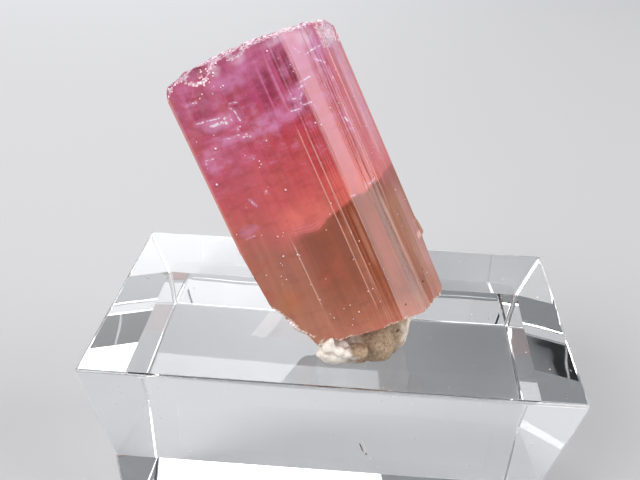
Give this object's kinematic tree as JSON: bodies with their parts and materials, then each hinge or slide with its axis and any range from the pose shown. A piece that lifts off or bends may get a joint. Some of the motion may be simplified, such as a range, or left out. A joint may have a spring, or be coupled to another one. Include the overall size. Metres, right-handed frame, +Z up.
{
  "type": "tourmaline crystal on a display base",
  "caption": "Stout striated two-coloured tourmaline prism, leaning in a lump of mounting tack on a clear flared display block.",
  "frame": {"origin": "middle of the display base's underside", "axes": "+Z up, +X to the right along the base's wide side, +Y away from the viewer; the crystal leans towards -X"},
  "size_m": [0.0318, 0.0222, 0.035],
  "materials": {
    "clear_acrylic": "clear, polished, with fine dust and a few scratches",
    "putty": "dull kneaded putty, white where fresh and beige with dark grit where soiled",
    "tourmaline": "vitreous, striated lengthwise, rose pink above and tan brown below"
  },
  "bodies": {
    "root": {"display_base": "clear_acrylic", "mounting_tack": "putty", "tourmaline_crystal": "tourmaline"}
  },
  "joints": []
}
